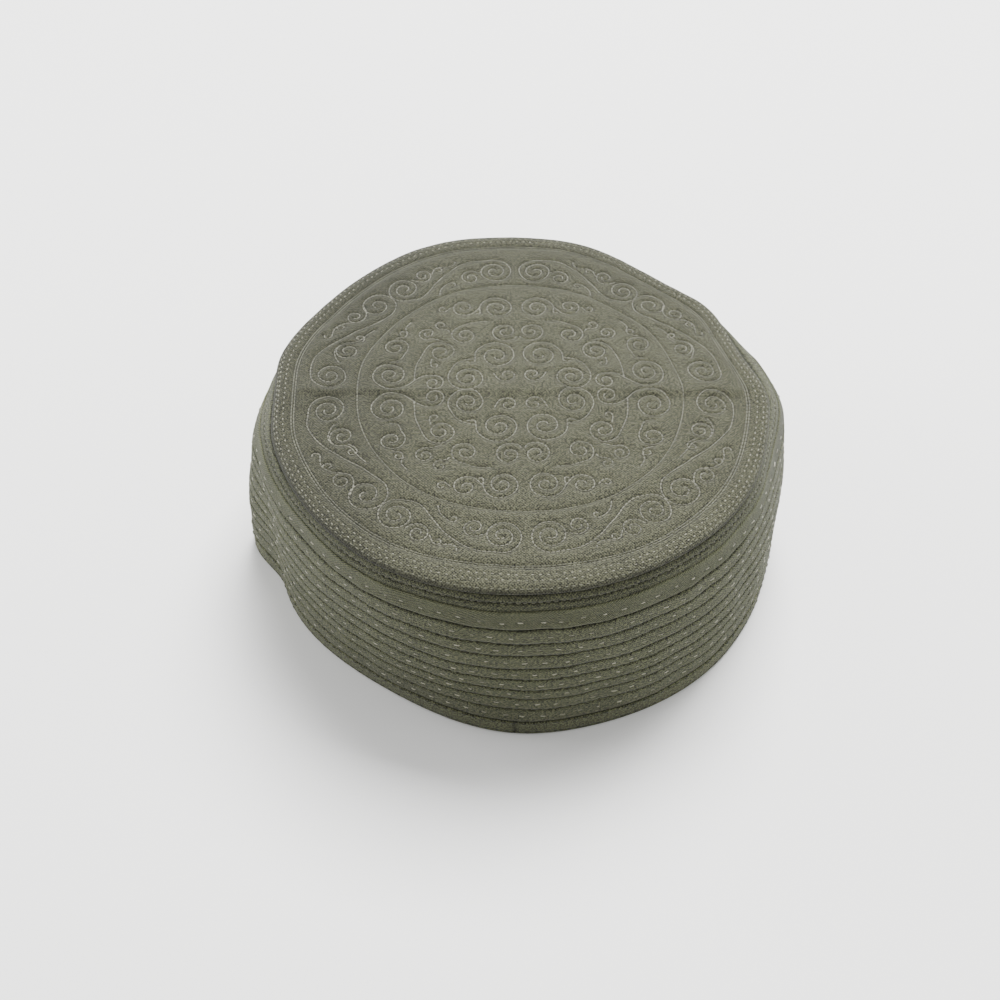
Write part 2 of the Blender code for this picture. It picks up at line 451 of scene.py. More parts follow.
def cotton(name, pale, dark, shade=0.55, turn=0.0, wale=0.0, holes=0.0):
    """Plain woven cotton. shade is how much painted shade darkens it where its raised attribute is
    low, turn lays its yarns askew, wale adds diagonal ribs, and holes is the pitch of the needle
    holes, whose shade is painted along the seams."""
    finish = Finish(name)
    laid = finish.node("UVMap", {"uv_map": "cloth"}, {})
    around = finish.node("SeparateXYZ", {}, {"Vector": laid})
    inputs = {"Vector": laid, "Rotation": (0, 0, math.radians(turn))}
    place = finish.node("Mapping", {}, inputs)
    across = finish.node("SeparateXYZ", {}, {"Vector": place}, output=0)
    along = finish.node("SeparateXYZ", {}, {"Vector": place}, output=1)
    warp = (across * (2 * math.pi / THREAD_PITCH)).maths("SINE")
    weft = (along * (2 * math.pi / THREAD_PITCH)).maths("SINE")
    weave = (warp * weft).between(-0.6, 0.6)
    warp_slub = finish.grain(place, (YARN_WIDTH, YARN_LENGTH, 0))
    weft_slub = finish.grain(place, (YARN_LENGTH, YARN_WIDTH, 0))
    slub = warp_slub.between(0.36, 0.64) * 0.5 + weft_slub.between(0.36, 0.64) * 0.5
    warp_fleck = finish.grain(place, (FLECK_WIDTH, FLECK_LENGTH, 0), detail=0.0)
    weft_fleck = finish.grain(place, (FLECK_LENGTH, FLECK_WIDTH, 0), detail=0.0)
    warp_fleck = warp_fleck.between(0.45, 0.55)
    weft_fleck = weft_fleck.between(0.45, 0.55)
    fleck = warp_fleck * weft_fleck * 0.2 + (warp_fleck + weft_fleck) * 0.4
    mottle = finish.grain(place, (60, 60, 60), detail=3.0).between(0.3, 0.7)
    tone = fleck * 0.78 + weave * 0.42 + slub * 0.08 + mottle * 0.08 - 0.17
    relief = weave * 0.6 + slub * 0.3 + fleck * 0.8
    if wale:
        ribs = ((across - along) * (2 * math.pi / wale)).maths("SINE") * 0.5 + 0.5
        tone = tone * 0.55 + ribs * 0.45
        relief = relief + ribs * 0.6
    raised = finish.attribute("raised")
    # Painted shade: darker where the raised attribute is low, in seams, grooves and dimples
    tone = tone * (1 - shade + shade * raised)
    # Painted shade of the needle holes along the low seams
    if holes:
        beat = (around * (2 * math.pi / holes)).maths("SINE").between(0.40, 0.85)
        tone = tone * (1 - beat * (1 - raised).between(0.5, 0.85))
    finish.set("Base Color", finish.mix(tone, dark, pale))
    finish.set("Roughness", 0.97 - 0.08 * slub)
    bump = {"Strength": 0.8, "Distance": 0.00025, "Height": relief + raised * 1.2}
    finish.set("Normal", finish.node("Bump", {}, bump))
    finish.set("Specular IOR Level", 0.15)
    finish.set("Sheen Weight", 0.10)
    finish.set("Sheen Roughness", 0.6)
    return finish.material


PUCKER_PITCH = 3.6 * MM
WELT_STITCH = 2.6 * MM
DARK = (0.003, 0.003, 0.0015, 1)
# The crown, wall and welt are one cloth. The wall's copy is paler than the crown's, painted light
# for the shade on the front wall, and the welt's copy is darker, painted shade under the crown's
# edge.
WALL_PALE = (0.110, 0.117, 0.058, 1)
crown_cotton = cotton("crown_cotton", (0.088, 0.0895, 0.053, 1), DARK)
wall_cotton = cotton("wall_cotton", WALL_PALE, DARK, shade=0.36, holes=PUCKER_PITCH)
bias_cotton = cotton("bias_cotton", (0.103, 0.110, 0.054, 1), DARK, turn=9.0, wale=1.0 * MM)
welt_cotton = cotton("welt_cotton", (0.094, 0.100, 0.050, 1), DARK, holes=WELT_STITCH)
hem_cotton = cotton("hem_cotton", (0.140, 0.149, 0.073, 1), DARK, shade=0.36, holes=PUCKER_PITCH)
cloths = (crown_cotton, wall_cotton, bias_cotton, welt_cotton, hem_cotton)
print("cloths:", [cloth.name for cloth in cloths])

# %% Sewing thread
def thread(name, pale, dark):
    """Cotton thread, with the light and dark of its twist."""
    finish = Finish(name)
    place = finish.node("TexCoord", {}, {}, output="Object")
    ply = finish.grain(place, (2600, 2600, 2600), detail=1.0)
    length = finish.grain(place, (180, 180, 180), detail=1.0)
    tone = ply.between(0.3, 0.7) * 0.4 + length.between(0.35, 0.65) * 0.6
    finish.set("Base Color", finish.mix(tone, dark, pale))
    bump = {"Strength": 0.4, "Distance": 0.0001, "Height": ply}
    finish.set("Normal", finish.node("Bump", {}, bump))
    finish.set("Roughness", 0.62)
    finish.set("Sheen Weight", 0.2)
    return finish.material


scroll_thread = thread("scroll_thread", (0.20, 0.196, 0.142, 1), (0.06, 0.059, 0.039, 1))
pale_thread = thread("pale_thread", (0.40, 0.385, 0.29, 1), (0.12, 0.118, 0.08, 1))
# Near-black thread for seams and hem, also used as the painted shade of needle holes
dark_thread_and_hole_shade = thread("dark_thread_and_hole_shade", (0.020, 0.021, 0.012, 1), (0.006, 0.006, 0.003, 1))
rim_thread = thread("rim_thread", (0.28, 0.272, 0.20, 1), (0.10, 0.098, 0.066, 1))
cloth_thread = thread("cloth_thread", (0.12, 0.12, 0.075, 1), (0.045, 0.046, 0.028, 1))

# %% [markdown]
# ## Stitches
# Each stitch comes up through the cloth, lies on it and goes down again. It is drawn as a line
# of four points, thin at its ends, and all the stitches of a kind become one mesh.

# %% Stitches along a row of points
def sew(name, stitches, width, material):
    """One mesh of many stitches. Each stitch is a list of (point, share of the width)."""
    line = bpy.data.curves.new(name, "CURVE")
    line.dimensions = "3D"
    line.bevel_depth = width / 2
    line.bevel_resolution = 0
    line.use_fill_caps = True
    for stitch in stitches:
        spline = line.splines.new("POLY")
        spline.points.add(len(stitch) - 1)
        for knot, (point, share) in zip(spline.points, stitch):
            knot.co = (*point, 1.0)
            knot.radius = share
    drawn = in_scene(name, line)
    bpy.context.view_layer.update()
    bm = bmesh.new()
    bm.from_mesh(drawn.evaluated_get(bpy.context.evaluated_depsgraph_get()).to_mesh())
    bpy.data.objects.remove(drawn)
    bpy.data.curves.remove(line)
    bmesh.ops.remove_doubles(bm, verts=bm.verts, dist=1e-7)
    print(name, "has", len(stitches), "stitches")
    finished(name, bm, material)


# Share of the length, lift in half widths, and share of the width
STITCH_SHAPE = ((0.00, -0.8, 0.55), (0.20, 0.30, 1.0), (0.80, 0.30, 1.0), (1.00, -0.8, 0.55))
HOLE_SHARE = 0.4
HOLE_LENGTH = 0.3 * MM
HOLE_WIDTH = 0.5 * MM
hand = random.Random(7)


def wall_stitches(row_height, count, length, width, inset_of, start=0.0, uneven=0.0):
    """Stitches round the wall at this height. uneven varies their length and level."""
    made = []
    for number in range(count):
        middle = (number + start + uneven * hand.uniform(-0.10, 0.10)) * 360 / count
        half = math.degrees(length / 2 / BAND_RADIUS) * (1 - uneven * hand.uniform(0, 0.45))
        level = row_height + uneven * hand.uniform(-0.25, 0.25) * MM
        slope = uneven * hand.uniform(-0.15, 0.15) * MM
        sunk = uneven * hand.uniform(-0.1, 0.2) * MM
        stitch = []
        for part, lift, share in STITCH_SHAPE:
            azimuth = (middle + (part * 2 - 1) * half) % 360
            height = level + (part * 2 - 1) * slope
            inset = inset_of(azimuth, height) - lift * width / 2 + sunk
            stitch.append((wall_point(azimuth, inset, height), share))
        made.append(stitch)
    return made


def needle_holes(stitches, share, length):
    """Painted shade: a dark mark for the shade in a needle's hole past the end of this share of the
    stitches.
    """
    made = []
    for stitch in stitches:
        if hand.random() < share:
            (before, _), (end, _) = stitch[-2:]
            on = (end - before).normalized() * length
            up = (before - end) * 0.5
            made.append([(end + up, 0.7), (end + up + on, 1.0), (end + up + on * 2, 0.7)])
    return made


# %% [markdown]
# ## The quilted wall
# The wall is two layers of cotton with wadding between, stitched round in eight channels. Each
# channel swells like a pillow between its two seams. A seam puckers the cloth at every stitch,
# and a row of running stitches dimples the middle of each channel. All of this is relief on one
# turned section.

# %% Heights of the channels
CHANNEL_SHARES = (1.10, 0.95, 1.10, 0.90, 0.95, 0.80, 1.00, 1.20)
SEAM_DEPTH = 0.65 * MM
RUNNING_COUNT = 86
RUNNING_LENGTH = 2.3 * MM
RUNNING_WIDTH = 0.42 * MM
STAGGER = 0.382  # from row to row, as a share of the stitches' pitch

seams = [BAND_TOP]
for channel_share in CHANNEL_SHARES:
    drop = (BAND_TOP - CHANNELS_BOTTOM) * channel_share / sum(CHANNEL_SHARES)
    seams.append(seams[-1] - drop)
RUNNING_HEIGHTS = [(above + below) / 2 for above, below in zip(seams, seams[1:])]
RUNNING_STARTS = [(number * STAGGER) % 1 for number in range(len(RUNNING_HEIGHTS))]
print("seams at mm:", [round(height / MM, 1) for height in seams])


# %% Relief of the channels
def channel_at(height):
    """The channel's number, and the share of its height from its upper seam."""
    for number, (above, below) in enumerate(zip(seams, seams[1:])):
        if height >= below - 1e-9:
            return number, (above - height) / (above - below)
    return len(CHANNEL_SHARES) - 1, 1.0


def running_dimple(azimuth, height, row_height, start, count):
    """1 at the two ends of a running stitch, 0 away from them."""
    turn = (azimuth / 360 * count - start) % 1
    away = min(turn, 1 - turn) * 2 * math.pi * BAND_RADIUS / count
    from_end = (away - RUNNING_LENGTH / 2) / (0.9 * MM)
    from_row = (height - row_height) / (0.8 * MM)
    return math.exp(-from_end ** 2 - from_row ** 2)


def wall_dimple(azimuth, height, number):
    """The dimples of the running row in this channel."""
    row_height, start = RUNNING_HEIGHTS[number], RUNNING_STARTS[number]
    return running_dimple(azimuth, height, row_height, start, RUNNING_COUNT)


def band_relief(azimuth, inset, height):
    """How far the quilted face stands proud of the seams' depth."""
    if inset > SEAM_DEPTH + FACE_ROOM or not seams[-1] - 1e-9 <= height <= seams[0] + 1e-9:
        return 0.0
    number, _ = channel_at(height)
    above, below = seams[number], seams[number + 1]
    away = min(above - height, height - below)
    seam_number = number if above - height < height - below else number + 1
    around = math.radians(azimuth) * BAND_RADIUS
    beat = math.sin(2 * math.pi * around / PUCKER_PITCH + 2.1 * seam_number)
    pucker = 0.07 * MM * beat * math.exp(-((away - 0.9 * MM) / (1.3 * MM)) ** 2)
    place = ring_place(azimuth, height, 19, 0.011)
    wrinkle = 0.20 * MM * noise.noise(place) * eased(away / (1.5 * MM))
    return pucker + wrinkle - 0.12 * MM * wall_dimple(azimuth, height, number)


# %% Section and mesh of the quilted wall
CHANNEL_STEPS = (0.0, 0.035, 0.10, 0.20, 0.34, 0.50, 0.66, 0.80, 0.90, 0.965)
INSIDE_STEPS = 8


def pillow_inset(part):
    """Inset of a channel's face: deep at its seams and full between them."""
    return SEAM_DEPTH * abs(2 * part - 1) ** 7


def band_section():
    face = []
    for above, below in zip(seams, seams[1:]):
        face += [(pillow_inset(part), above + (below - above) * part) for part in CHANNEL_STEPS]
    face.append((SEAM_DEPTH, seams[-1]))
    tongue_outer = HEM_CLOTH + SEAM_GAP
    tongue = [
        (tongue_outer, CHANNELS_BOTTOM),
        (tongue_outer, TONGUE_BOTTOM),
        (tongue_outer + HEM_TONGUE, TONGUE_BOTTOM),
        (tongue_outer + HEM_TONGUE, CHANNELS_BOTTOM),
    ]
    inside = [
        (BAND_WALL, CHANNELS_BOTTOM + (BAND_TOP - CHANNELS_BOTTOM) * i / INSIDE_STEPS)
        for i in range(INSIDE_STEPS + 1)
    ]
    return face + tongue + inside


def band_raised(azimuth, inset, height):
    """The pillows are pale, and painted shade darkens their seams and the running row's dimples."""
    number, _ = channel_at(max(height, seams[-1]))
    return eased((SEAM_DEPTH - inset) / (0.6 * MM)) - 0.3 * wall_dimple(azimuth, height, number)


quilted_wall = wall_piece(
    "quilted_wall", band_section(), band_raised, band_relief,
    wall_cotton, "quilted_band",
)

# %% Running stitches and seam stitches of the wall
running = []
for row_height, start in zip(RUNNING_HEIGHTS, RUNNING_STARTS):
    running += wall_stitches(
        row_height, RUNNING_COUNT, RUNNING_LENGTH, RUNNING_WIDTH,
        lambda azimuth, height: -band_relief(azimuth, 0, height), start, uneven=1.0,
    )
sew("wall_running_stitches", running, RUNNING_WIDTH, pale_thread)
wall_holes = needle_holes(running, HOLE_SHARE, HOLE_LENGTH)
sew("wall_needle_holes", wall_holes, HOLE_WIDTH, dark_thread_and_hole_shade)

SEAM_COUNT = round(2 * math.pi * BAND_RADIUS / PUCKER_PITCH)
seam_rows = []
for row_height in seams[1:-1]:
    seam_rows += wall_stitches(
        row_height, SEAM_COUNT, 0.8 * PUCKER_PITCH, 0.4 * MM,
        lambda azimuth, height: SEAM_DEPTH - 0.05 * MM,
    )
sew("wall_seam_stitches", seam_rows, 0.4 * MM, dark_thread_and_hole_shade)

# %% [markdown]
# ## The bias strip
# Above the quilting lies a plain strip, cut on the bias so that it bends without wrinkling. Its
# edges are folded under, so it stands a little proud, and one row of running stitches holds it.
# The slanting yarns show as fine diagonal ribs.

# %% Bias strip
STRIP_BOTTOM = STRIP_TOP - STRIP_HEIGHT
STRIP_ROW = STRIP_BOTTOM + 0.42 * STRIP_HEIGHT
STRIP_STITCHES = 86
STRIP_THREAD = 0.5 * MM
STRIP_HOLLOW = 0.12 * MM  # inset of the face's middle
RIGHT_SHADE_AZIMUTH = 10  # painted shade darkens the strip around this azimuth
RIGHT_SHADE_WIDTH = 26


def strip_relief(azimuth, inset, height):
    if inset > 1.2 * MM:
        return 0.0
    ease = 0.18 * MM * noise.noise(ring_place(azimuth, height, 15, 0.012))
    dimple = running_dimple(azimuth, height, STRIP_ROW, 0.5, STRIP_STITCHES)
    return ease - 0.15 * MM * dimple


def strip_face(part):
    """Inset of the strip's face from its top, part 0, to its bottom, part 1."""
    middle = abs(2 * part - 1)
    edge = 0.3 if part < 0.5 else 0.5
    return edge * MM * middle ** 10 + STRIP_HOLLOW * (1 - middle ** 2)


def strip_raised(azimuth, inset, height):
    """The upper fold gets a painted highlight, and the lower one painted shade in its seam. Painted
    shade also darkens the strip at the right and at the running stitches' dimples.
    """
    edge_highlight = 0.4 * math.exp(-((STRIP_TOP - 0.4 * MM - height) / (0.9 * MM)) ** 2)
    seam = 0.7 * math.exp(-((height - STRIP_BOTTOM) / (0.4 * MM)) ** 2)
    away = ((azimuth - RIGHT_SHADE_AZIMUTH + 180) % 360 - 180) / RIGHT_SHADE_WIDTH
    right_shade = 0.7 * math.exp(-away ** 2)
    dimple = 0.5 * running_dimple(azimuth, height, STRIP_ROW, 0.5, STRIP_STITCHES)
    return 1 + edge_highlight - seam - right_shade - dimple


STRIP_STEPS = [0, 0.02, 0.06, 0.12] + [0.12 + 0.76 * i / 12 for i in range(1, 13)] + [0.94, 0.98, 1]
section = [(1.1 * MM, STRIP_TOP)]
section += [(strip_face(part), STRIP_TOP - STRIP_HEIGHT * part) for part in STRIP_STEPS]
section += [(STRIP_WALL, STRIP_BOTTOM), (STRIP_WALL, STRIP_TOP)]
wall_piece(
    "bias_strip", section, strip_raised, strip_relief, bias_cotton, "upper_strip"
)

strip_running = wall_stitches(
    STRIP_ROW, STRIP_STITCHES, RUNNING_LENGTH, STRIP_THREAD,
    lambda azimuth, height: STRIP_HOLLOW - strip_relief(azimuth, 0, height), 0.5, uneven=1.0,
)
sew("strip_running_stitches", strip_running, STRIP_THREAD, pale_thread)
strip_holes = needle_holes(strip_running, HOLE_SHARE, HOLE_LENGTH)
sew("strip_needle_holes", strip_holes, HOLE_WIDTH, dark_thread_and_hole_shade)

# %% [markdown]
# ## The welt
# Two thin cords in one folded strip lie side by side under the crown's edge, with a row of
# machine stitches between them. They stand back from the crown, so they lie in its shade. The
# lower cord stands out a little further, so that no dark gap opens above the strip.

# %% Welt of two cords
WELT_DEPTH = 0.6 * MM  # of the grooves beside the cords
WELT_BOTTOM = WELT_TOP - WELT_HEIGHT
WELT_FLARE = 0.7 * MM  # it stands out by this at its bottom
WELT_LAP = 0.2 * MM  # its face hangs into the seam below
WELT_STEPS = 20


def welt_face(part):
    """Inset of the two cords' faces from the top, part 0, to the bottom, part 1."""
    in_cord = (part * 2) % 1 if part < 1 else 1
    bulge = math.sqrt(max(1 - (2 * in_cord - 1) ** 2, 0))
    if part > 0.75:  # the lower cord stays full where it meets the strip
        bulge = max(bulge, 0.85)
    return WELT_RECESS + WELT_DEPTH * (1 - bulge) - WELT_FLARE * part


def welt_relief(azimuth, inset, height):
    if inset > WELT_RECESS + WELT_DEPTH + FACE_ROOM:
        return 0.0
    around = math.radians(azimuth) * BAND_RADIUS
    from_groove = (height - (WELT_TOP + WELT_BOTTOM) / 2) / (1.0 * MM)
    beat = math.sin(2 * math.pi * around / WELT_STITCH)
    return 0.14 * MM * beat * math.exp(-from_groove ** 2)


# Painted shade: the welt's colour darkens in the grooves beside its cords
def welt_raised(azimuth, inset, height):
    flare = WELT_FLARE * (WELT_TOP - height) / WELT_HEIGHT
    return 1 - eased((inset + flare - WELT_RECESS) / WELT_DEPTH)


section = [
    (welt_face(i / WELT_STEPS), WELT_TOP - (WELT_HEIGHT + WELT_LAP) * i / WELT_STEPS)
    for i in range(WELT_STEPS + 1)
]
section += [(WELT_RECESS + WELT_WALL, WELT_BOTTOM), (WELT_RECESS + WELT_WALL, WELT_TOP)]
corded_welt = wall_piece(
    "corded_welt", section, welt_raised, welt_relief, welt_cotton, "rim_welt"
)

WELT_COUNT = round(2 * math.pi * BAND_RADIUS / WELT_STITCH)
welt_row = wall_stitches(
    (WELT_TOP + WELT_BOTTOM) / 2, WELT_COUNT, 0.62 * WELT_STITCH, 0.42 * MM,
    lambda azimuth, height: WELT_RECESS + WELT_DEPTH - 0.65 * MM, uneven=0.5,
)
sew("welt_stitches", welt_row, 0.42 * MM, cloth_thread)

# %% [markdown]
# ## The hem binding
# A strip is folded round the wall's lower edge and stitched through near the fold. Its two ends
# meet in a butt seam at the front. The cap stands on this fold, so its underside stays flat.

# %% Hem binding
HEM_ROW = 1.5 * MM
HEM_STITCH = 3.7 * MM
HEM_COUNT = round(2 * math.pi * BAND_RADIUS / HEM_STITCH)
BUTT_SEAM = 269.0  # degrees
BUTT_WIDTH = 0.45


def hem_relief(azimuth, inset, height):
    if inset > 0.6 * MM or height < 0.4 * MM:
        return 0.0
    around = azimuth / 360 * HEM_COUNT * 2 * math.pi
    from_row = (height - HEM_ROW) / (0.7 * MM)
    from_top = (HEM_HEIGHT - height) / (1.0 * MM)
    row = -0.22 * MM * math.exp(-from_row ** 2) * (0.6 + 0.4 * math.cos(around))
    edge = 0.12 * MM * math.sin(around + 1) * math.exp(-from_top ** 2)
    from_butt = (azimuth - BUTT_SEAM) / BUTT_WIDTH
    butt = -0.6 * MM * math.exp(-from_butt ** 2)
    return (row + edge + butt) * eased((height - 0.4 * MM) / (0.5 * MM))


# Down the outer face, under the fold, up the inner one and round the slot
slot_outer = HEM_CLOTH
slot_inner = BINDING_WALL - HEM_CLOTH
section = [(0.45 * MM, HEM_HEIGHT), (0.12 * MM, HEM_HEIGHT - 0.25 * MM)]
section += [(0.0, HEM_HEIGHT - 0.6 * MM - (HEM_HEIGHT - 1.4 * MM) * i / 14) for i in range(15)]
section += [(0.12 * MM, 0.4 * MM), (0.35 * MM, 0.15 * MM), (0.7 * MM, 0.0)]
section += [(BINDING_WALL - 0.7 * MM, 0.0), (BINDING_WALL - 0.15 * MM, 0.4 * MM)]
section += [(BINDING_WALL, 1.0 * MM), (BINDING_WALL, HEM_HEIGHT - 0.3 * MM)]
section += [(BINDING_WALL - 0.4 * MM, HEM_HEIGHT), (slot_inner, HEM_HEIGHT - 0.2 * MM)]
section += [(slot_inner, HEM_CLOTH), (slot_outer, HEM_CLOTH), (slot_outer, HEM_HEIGHT - 0.2 * MM)]
# Painted shade and light: the hem's colour darkens in the dents of its stitch rows and butt seam,
# and lightens on the bumps of its upper edge
wall_piece(
    "folded_hem", section,
    lambda azimuth, inset, height: 1 + hem_relief(azimuth, inset, height) / (0.4 * MM),
    hem_relief, hem_cotton, "hem_binding",
)

hem_row = []
for row_height, start in ((HEM_ROW, 0.5), (HEM_HEIGHT - 0.6 * MM, 0.2)):
    hem_row += wall_stitches(
        row_height, HEM_COUNT, 0.55 * HEM_STITCH, 0.4 * MM,
        lambda azimuth, height: -hem_relief(azimuth, 0, height), start, uneven=0.4,
    )
sew("hem_stitches", hem_row, 0.4 * MM, dark_thread_and_hole_shade)

# %% [markdown]
# ## Drawing the scrollwork
# The crown carries a traditional scroll repeat: pairs of large curls joined by stems, with small
# curls branching off. One quarter is drawn, in millimetres from the middle, and mirrored to the
# other three. A curl is a spiral that tightens evenly, and its stem runs smoothly into it.

# %% Curls and stems of one quarter
# The stem's points, then the curl: its centre, outer and inner radius, number of turns, the
# azimuth it starts at, and 1 for a turn to the left or -1 to the right
Scroll = namedtuple("Scroll", "stem centre radius end turns start way")
CURLS = (
    # the band of scrolls between the two stitched circles
    ([(-50, -42), (-54, -39), (-60, -35), (-66, -30.6), (-71, -26), (-74, -22), (-75.8, -17)],
     (-69, -11), 7.4, 1.2, 2.1, 195, -1),
    ([(-54, -39), (-50, -42)], (-52.3, -50.3), 7.9, 1.3, 1.8, 40, -1),
    ([(-53, -35.8), (-55.5, -33.5), (-58.8, -29.4)],
     (-62.5, -23.7), 5.0, 1.2, 1.6, 290, -1),
    ([(-60, -27.5)], (-58.6, -31.0), 2.2, 0.9, 0.9, 60, -1),
    ([(-65.5, -17.8), (-66.6, -19.6)], (-62.8, -23.7), 4.7, 4.4, 0.2, 165, 1),
    ([(-57.6, -50.5), (-56.6, -47)], (-60.8, -44.6), 4.1, 1.2, 1.35, 0, 1),
    ([(-61, -41), (-64.5, -40.8), (-68, -38.5), (-69, -35)],
     (-71, -33.5), 2.2, 1.0, 0.6, -10, 1),
    ([(-68, -38.8)], (-66.0, -38.3), 2.0, 0.9, 0.7, 165, -1),
    ([(-25, -66.5), (-29, -61), (-32.5, -56), (-36, -53)],
     (-41.4, -59), 7.1, 1.2, 2.0, 62, 1),
    ([(-29, -61), (-25, -66.5), (-20, -71.3), (-14.5, -74.6)],
     (-6.2, -68.4), 7.4, 1.2, 2.2, 245, 1),
    ([(-38.4, -64.6)], (-34, -66.6), 4.2, 1.2, 1.45, 130, -1),
    ([(-30.2, -67), (-29.4, -69.6)], (-27.4, -69.6), 1.9, 0.8, 0.8, 200, 1),
    ([(-27.6, -71.5), (-24.5, -71.2)], (-23.5, -74.2), 2.9, 2.4, 0.25, 80, -1),
    ([(-10.8, -67.6)], (-15.4, -64.6), 4.2, 1.2, 1.45, 315, -1),
    ([(-27.6, -54.5), (-27, -58), (-24.6, -60.8)], (-22.4, -60.2), 1.7, 0.8, 0.8, 230, 1),
    # the field inside the inner circle
    ([(-38, -6.6), (-41, -4.2)], (-46.6, -10), 7.7, 1.2, 2.0, 60, 1),
    ([(-41, -4.2), (-38, -6.6), (-34.6, -9.0)], (-31, -5.0), 4.2, 1.2, 1.4, 265, 1),
    ([(-38, -6.6), (-37.6, -11), (-37, -15.5), (-35.2, -20)],
     (-28, -21.6), 5.9, 1.2, 1.7, 205, 1),
    ([(-31.5, -18.2), (-32.2, -15.6)], (-30.4, -14.6), 1.8, 0.8, 0.8, 190, -1),
    ([(-46.4, -17.6), (-43, -18.2)], (-45.0, -25.4), 5.3, 1.2, 1.5, 50, -1),
    ([(-45, -30.6)], (-42.4, -32.9), 2.3, 0.9, 1.0, 120, -1),
    ([(-39, -39.6), (-41, -36.6)], (-42.4, -32.9), 2.3, 2.2, 0.15, 300, 1),
    ([(-27, -27.6)], (-33, -32.4), 3.8, 1.0, 1.5, 55, 1),
    ([(-15.4, -17.6), (-19, -17.2), (-22.6, -14.8)], (-18.7, -7.2), 7.3, 1.2, 2.0, 215, -1),
    ([(-19, -16.2), (-16.2, -15.4)], (-7.5, -18.8), 8.2, 1.2, 2.0, 170, 1),
    ([(-9.2, -9.6)], (-4.4, -8.0), 3.9, 1.1, 1.2, 165, -1),
    ([(-10, -38.2), (-14.5, -38), (-19, -36.6)], (-19.0, -31), 5.2, 1.2, 1.5, 240, -1),
    ([(-24.4, -33)], (-27.6, -37.2), 2.9, 1.0, 1.1, 50, 1),
    ([(0.3, -29.4)], (-3.8, -32.2), 5.5, 1.1, 1.6, 50, 1),
    ([(-12.9, -46.6)], (-18.8, -46.8), 5.1, 1.2, 1.45, 20, 1),
    ([(-23.8, -47)], (-26.9, -46.4), 2.3, 0.9, 1.0, 350, 1),
    ([(-14.4, -43.2)], (-6.1, -46.0), 7.0, 1.2, 2.0, 155, 1),
)
QUARTER = [Scroll(*row) for row in CURLS]
print("scrolls in a quarter:", len(QUARTER))

# %% Smooth lines through the points
# The pattern lies a little turned and off the crown's middle
PATTERN_TURN = math.radians(1.5)
READ_MIDDLE = Vector((0.12, -0.53))
PATTERN_MIDDLE = Vector((-0.22, 0.40))
LINE_STEP = 0.45
CURL_STEPS = 16  # points in a full turn
CURVE_STEPS = 8  # points between two points of a stem or curl


def curl(scroll):
    """Points of the spiral, from its outside in."""
    count = max(int(scroll.turns * CURL_STEPS), 3)
    points = []
    for i in range(count + 1):
        angle = math.radians(scroll.start + scroll.way * 360 * scroll.turns * i / count)
        radius = scroll.radius + (scroll.end - scroll.radius) * i / count
        points.append(Vector(scroll.centre) + radius * Vector((math.cos(angle), math.sin(angle))))
    return points


def smooth_line(points, step):
    """Even steps along a smooth curve through the points."""
    ends = [points[0]] + points + [points[-1]]
    fine = []
    for before, start, end, after in zip(ends, ends[1:], ends[2:], ends[3:]):
        for i in range(CURVE_STEPS):
            t = i / CURVE_STEPS
            fine.append(0.5 * (
                2 * start + (end - before) * t
                + (2 * before - 5 * start + 4 * end - after) * t ** 2
                + (3 * start - before - 3 * end + after) * t ** 3
            ))
    fine.append(points[-1])
    return resampled(fine, step)


def resampled(fine, step):
    """Points at even steps along these points, with both ends kept."""
    total = sum((b - a).length for a, b in zip(fine, fine[1:]))
    count = max(round(total / step), 2)
    even, gone, index = [fine[0]], 0.0, 0
    for i in range(1, count):
        target = total * i / count
        while gone + (fine[index + 1] - fine[index]).length < target:
            gone += (fine[index + 1] - fine[index]).length
            index += 1
        reach = (target - gone) / max((fine[index + 1] - fine[index]).length, 1e-9)
        even.append(fine[index].lerp(fine[index + 1], reach))
    return even + [fine[-1]]


def turned(point, angle):
    cos, sin = math.cos(angle), math.sin(angle)
    return Vector((point.x * cos - point.y * sin, point.x * sin + point.y * cos))


def unsteady(point):
    """A line guided by hand strays by a fraction of a millimetre."""
    place = Vector((point.x / 6, point.y / 6, 1))
    return point + 0.35 * Vector((noise.noise(place), noise.noise(place + Vector((0, 0, 5)))))


def placed(point, flip_x, flip_y):
    """A point of the quarter in its place on the crown, in millimetres."""
    flipped = Vector((point.x * flip_x, point.y * flip_y))
    return unsteady(turned(flipped, PATTERN_TURN) + PATTERN_MIDDLE)


def unturned(point):
    """The quarter's points were read on the turned crown, so they are turned back first."""
    return turned(Vector(point) - READ_MIDDLE, -PATTERN_TURN)


quarter_lines = [
    smooth_line([unturned(point) for point in scroll.stem + curl(scroll)], LINE_STEP)
    for scroll in QUARTER
]
scroll_lines = [
    [placed(point, flip_x, flip_y) for point in line]
    for flip_x in (1, -1) for flip_y in (1, -1) for line in quarter_lines
]
print("metres of scroll line:", round(sum(len(line) for line in scroll_lines) * LINE_STEP * MM, 1))

# %% Stitched circles of the crown
CIRCLES = (59.2, 82.4, 83.3)
DOT_ROWS = (86.2, 88.5)
EDGE_ROW = 89.5
FRONT_DIP = 1.9
DIP_AZIMUTH = 266
DIP_HALF_WIDTH = 42


def circle(radius, step, dip=0.0):
    """Points round the crown. At the front, where the cloth is drawn in, they come in by dip."""
    count = round(2 * math.pi * radius / step)
    points = []
    for i in range(count + 1):
        angle = 2 * math.pi * i / count
        from_front = abs(math.degrees(angle) - DIP_AZIMUTH) / DIP_HALF_WIDTH
        reach = radius - dip * 0.5 * (1 + math.cos(math.pi * min(from_front, 1)))
        points.append(Vector((reach * math.cos(angle), reach * math.sin(angle))) + PATTERN_MIDDLE)
    return points


